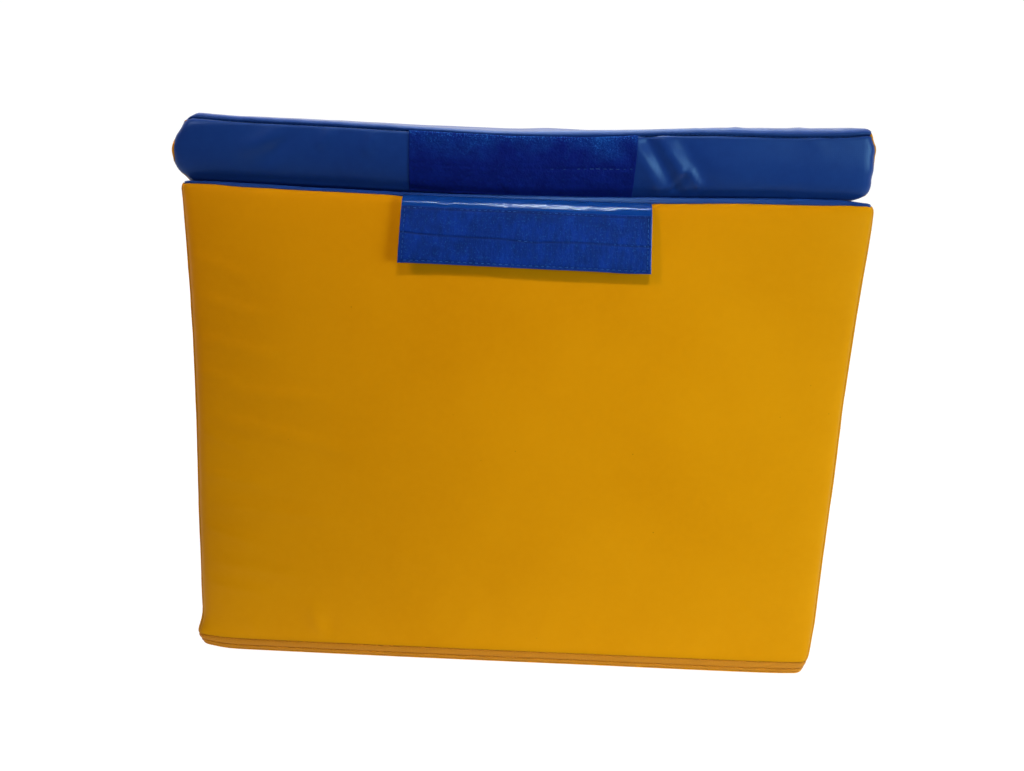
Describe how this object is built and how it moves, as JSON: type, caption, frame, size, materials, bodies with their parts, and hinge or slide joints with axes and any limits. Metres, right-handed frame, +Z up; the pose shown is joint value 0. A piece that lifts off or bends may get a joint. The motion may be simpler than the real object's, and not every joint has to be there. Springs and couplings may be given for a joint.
{
  "type": "folding foam wedge block",
  "caption": "Vinyl-covered foam wedge that folds ramp on ramp about a fabric hinge, with a hook-and-loop flap holding it shut and zips round each cover.",
  "frame": {"origin": "centre of the thick half's base, on the floor, with the thin half folded on top", "axes": "+Z up; the tall end, its flap and the nose face -Y; the fabric hinge is at +Y; X runs across the width"},
  "size_m": [0.6077, 0.615, 0.511],
  "materials": {
    "yellow_vinyl": "satin",
    "blue_vinyl": "satin",
    "blue_hook_tape": "matte",
    "blue_loop": "matte",
    "yellow_zip_tape": "matte",
    "yellow_coil": "satin",
    "zip_metal": "satin",
    "foam": "matte"
  },
  "bodies": {
    "thick_half": {"thick_foam_core": "foam", "thick_base_panel": "yellow_vinyl", "thick_ramp_panel": "blue_vinyl", "tall_end_panel": "yellow_vinyl", "thick_hinge_end_panel": "yellow_vinyl", "thick_left_side_panel": "yellow_vinyl", "thick_right_side_panel": "yellow_vinyl", "thick_zip_lower_tape": "yellow_zip_tape", "thick_zip_upper_tape": "yellow_zip_tape", "thick_zip_lower_coil": "yellow_coil", "thick_zip_upper_coil": "yellow_coil", "thick_zip_left_stop": "zip_metal", "thick_zip_right_stop": "zip_metal", "hinge_strip": "blue_vinyl", "flap_root": "blue_vinyl"},
    "thick_slider": {"thick_zip_slider": "zip_metal"},
    "thick_pull": {"thick_zip_pull": "zip_metal"},
    "flap": {"flap_vinyl": "blue_vinyl", "flap_hook_tape": "blue_hook_tape"},
    "thin_half": {"thin_foam_core": "foam", "thin_base_panel": "blue_vinyl", "thin_ramp_panel": "blue_vinyl", "nose_panel": "blue_vinyl", "thin_hinge_end_panel": "yellow_vinyl", "thin_left_side_panel": "yellow_vinyl", "thin_right_side_panel": "yellow_vinyl", "thin_zip_lower_tape": "yellow_zip_tape", "thin_zip_upper_tape": "yellow_zip_tape", "thin_zip_lower_coil": "yellow_coil", "thin_zip_upper_coil": "yellow_coil", "thin_zip_left_stop": "zip_metal", "thin_zip_right_stop": "zip_metal", "loop_patch": "blue_loop"},
    "thin_slider": {"thin_zip_slider": "zip_metal"},
    "thin_pull": {"thin_zip_pull": "zip_metal"}
  },
  "joints": [
    {"name": "fold_hinge", "type": "hinge", "parent": "thick_half", "child": "thin_half", "pos_m": [0, 0.3015, 0.2555], "axis": [-1, 0, 0], "range_deg": [0, 180], "deforming": ["hinge_strip"]},
    {"name": "flap_hinge", "type": "hinge", "parent": "thick_half", "child": "flap", "pos_m": [0, -0.3058, 0.449], "axis": [-1, 0, 0], "range_deg": [0, 173], "deforming": ["flap_root"]},
    {"name": "thick_zip_slide", "type": "slide", "parent": "thick_half", "child": "thick_slider", "axis": [0, -1, 0], "range_m": [0, 0.515]},
    {"name": "thick_pull_hinge", "type": "hinge", "parent": "thick_slider", "child": "thick_pull", "pos_m": [0.30395, 0.2384, 0.005], "axis": [0, 0, -1], "range_deg": [0, 180]},
    {"name": "thin_zip_slide", "type": "slide", "parent": "thin_half", "child": "thin_slider", "axis": [0, 1, 0], "range_m": [0, 0.285]},
    {"name": "thin_pull_hinge", "type": "hinge", "parent": "thin_slider", "child": "thin_pull", "pos_m": [0.30395, -0.0084, 0.506], "axis": [0, 0, 1], "range_deg": [0, 180]}
  ]
}
